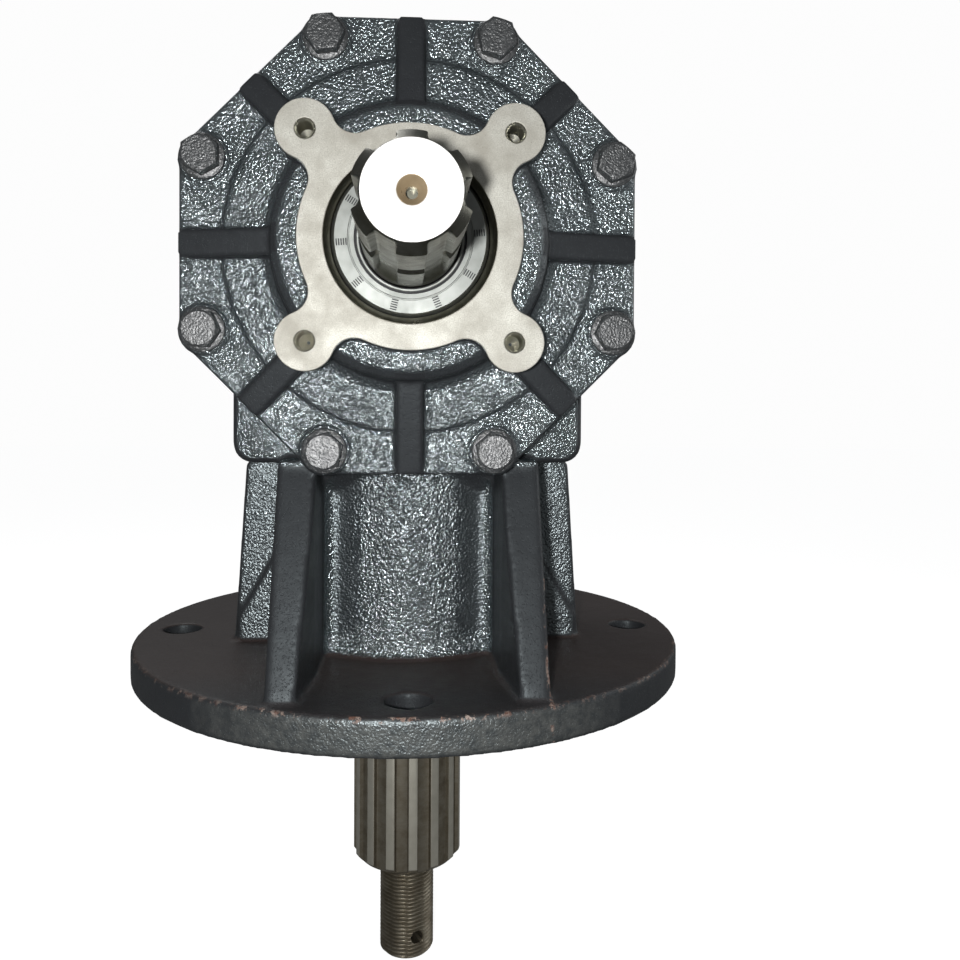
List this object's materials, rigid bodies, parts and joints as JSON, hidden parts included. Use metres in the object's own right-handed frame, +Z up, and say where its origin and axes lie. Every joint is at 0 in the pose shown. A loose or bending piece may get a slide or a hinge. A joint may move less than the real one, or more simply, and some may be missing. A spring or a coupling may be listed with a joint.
{
  "type": "right angle bevel gearbox",
  "caption": "Cast-iron right angle bevel gearbox with a splined input shaft through an octagonal cover and a splined output shaft under a round flange.",
  "frame": {"origin": "centre of the mounting flange's underside, on the output shaft's axis", "axes": "+Z up along the output shaft away from its threaded end, -Y along the input shaft out of the front cover, +X to the right seen from the front"},
  "size_m": [0.25, 0.3145, 0.4147],
  "materials": {
    "cast_iron_paint": "charcoal paint over coarse casting",
    "gasket": "compressed fibre sheet",
    "fastener_paint": "charcoal paint",
    "shaft_steel": "turned and oiled",
    "gear_steel": "cut teeth",
    "bearing_steel": "ground",
    "spring_steel": "blackened",
    "seal_steel": "plated",
    "seal_rubber": "matt"
  },
  "bodies": {
    "gearbox_body": {"housing": "cast_iron_paint", "front_cover": "cast_iron_paint", "cover_gasket": "gasket", "cover_bolt_1": "fastener_paint", "cover_bolt_2": "fastener_paint", "cover_bolt_3": "fastener_paint", "cover_bolt_4": "fastener_paint", "cover_bolt_5": "fastener_paint", "cover_bolt_6": "fastener_paint", "cover_bolt_7": "fastener_paint", "cover_bolt_8": "fastener_paint", "cover_washer_1": "fastener_paint", "cover_washer_2": "fastener_paint", "cover_washer_3": "fastener_paint", "cover_washer_4": "fastener_paint", "cover_washer_5": "fastener_paint", "cover_washer_6": "fastener_paint", "cover_washer_7": "fastener_paint", "cover_washer_8": "fastener_paint", "breather_plug": "fastener_paint", "level_plug": "fastener_paint", "front_bearing_cup": "bearing_steel", "rear_bearing_cup": "bearing_steel", "upper_bearing_cup": "bearing_steel", "lower_bearing_cup": "bearing_steel", "rear_retaining_ring": "spring_steel", "lower_retaining_ring": "spring_steel", "rear_cap": "spring_steel", "input_seal_spring": "spring_steel", "output_seal_spring": "spring_steel", "input_seal_case": "seal_steel", "output_seal_case": "seal_steel", "input_seal_lip": "seal_rubber", "output_seal_lip": "seal_rubber"},
    "input_line": {"input_shaft": "shaft_steel", "crown_gear": "gear_steel", "crown_key": "gear_steel", "crown_retaining_ring": "spring_steel", "front_bearing_cone": "bearing_steel", "front_bearing_rollers": "bearing_steel", "rear_bearing_cone": "bearing_steel", "rear_bearing_rollers": "bearing_steel"},
    "output_line": {"output_shaft": "shaft_steel", "pinion": "gear_steel", "pinion_key": "gear_steel", "pinion_spacer": "gear_steel", "pinion_nut": "gear_steel", "upper_bearing_cone": "bearing_steel", "upper_bearing_rollers": "bearing_steel", "lower_bearing_cone": "bearing_steel", "lower_bearing_rollers": "bearing_steel"}
  },
  "joints": [
    {"name": "input_spin", "type": "hinge", "parent": "gearbox_body", "child": "input_line", "pos_m": [0, 0, 0.181], "axis": [0, -1, 0], "continuous": true},
    {"name": "output_spin", "type": "hinge", "parent": "gearbox_body", "child": "output_line", "pos_m": [0, 0, 0.181], "axis": [0, 0, 1], "continuous": true}
  ],
  "couplings": [
    {"joint": "output_spin", "follows": "input_spin", "ratio": 1.4667}
  ]
}
